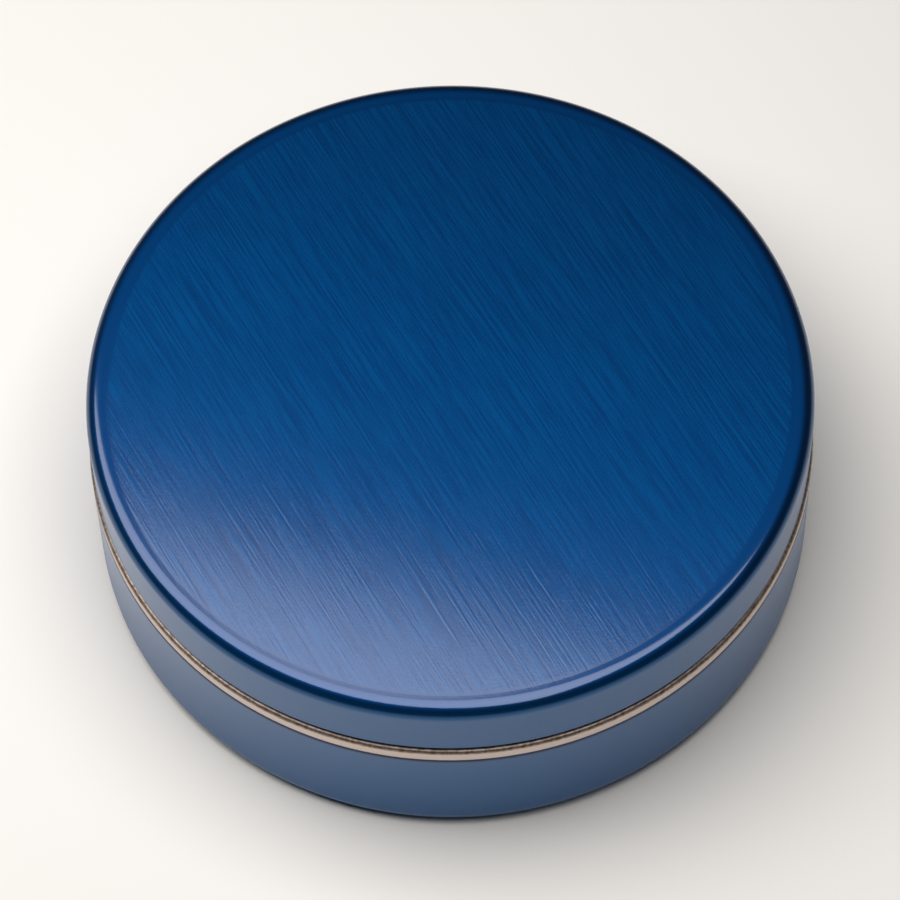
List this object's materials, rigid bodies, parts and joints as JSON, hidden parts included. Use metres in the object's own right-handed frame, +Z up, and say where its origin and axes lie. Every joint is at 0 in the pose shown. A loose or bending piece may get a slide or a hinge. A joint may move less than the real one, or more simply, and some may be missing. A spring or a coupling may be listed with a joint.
{
  "type": "rosin cake",
  "caption": "Round flat metal tin with a slip-on lid, holding a cake of bow rosin on its cloth inside a foam nest.",
  "frame": {"origin": "middle of the tin's foot, on the surface that it stands on", "axes": "+Z up along the tin's axis; the object is round, so +X and +Y are only two directions across it, and -Y is the side nearest the viewer"},
  "size_m": [0.062, 0.062, 0.021],
  "materials": {
    "lacquered_tinplate": "clear deep-blue lacquer over straight-grained tinplate, satin",
    "wool_felt": "pressed wool felt",
    "charcoal_foam": "open-cell polyurethane foam",
    "navy_velvet": "cotton velvet with a short pile",
    "pressed_aluminium": "pressed foil-gauge sheet, satin",
    "amber_rosin": "cast pine rosin, clear amber, glassy"
  },
  "bodies": {
    "tin": {"tin_base": "lacquered_tinplate", "base_pad": "wool_felt", "foam_ring": "charcoal_foam"},
    "cake": {"cake_cloth": "navy_velvet", "cake_dish": "pressed_aluminium", "rosin_cake": "amber_rosin"},
    "lid_liner": {"lid_pad": "charcoal_foam"},
    "lid": {"tin_lid": "lacquered_tinplate"}
  },
  "joints": [
    {"name": "cake_lift", "type": "slide", "parent": "tin", "child": "cake", "axis": [0, 0, 1], "range_m": [0, 0.03]},
    {"name": "lid_lift", "type": "slide", "parent": "cake", "child": "lid_liner", "axis": [0, 0, 1], "range_m": [0, 0.04]},
    {"name": "lid_turn", "type": "hinge", "parent": "lid_liner", "child": "lid", "pos_m": [0, 0, 0.021], "axis": [0, 0, 1], "continuous": true}
  ]
}
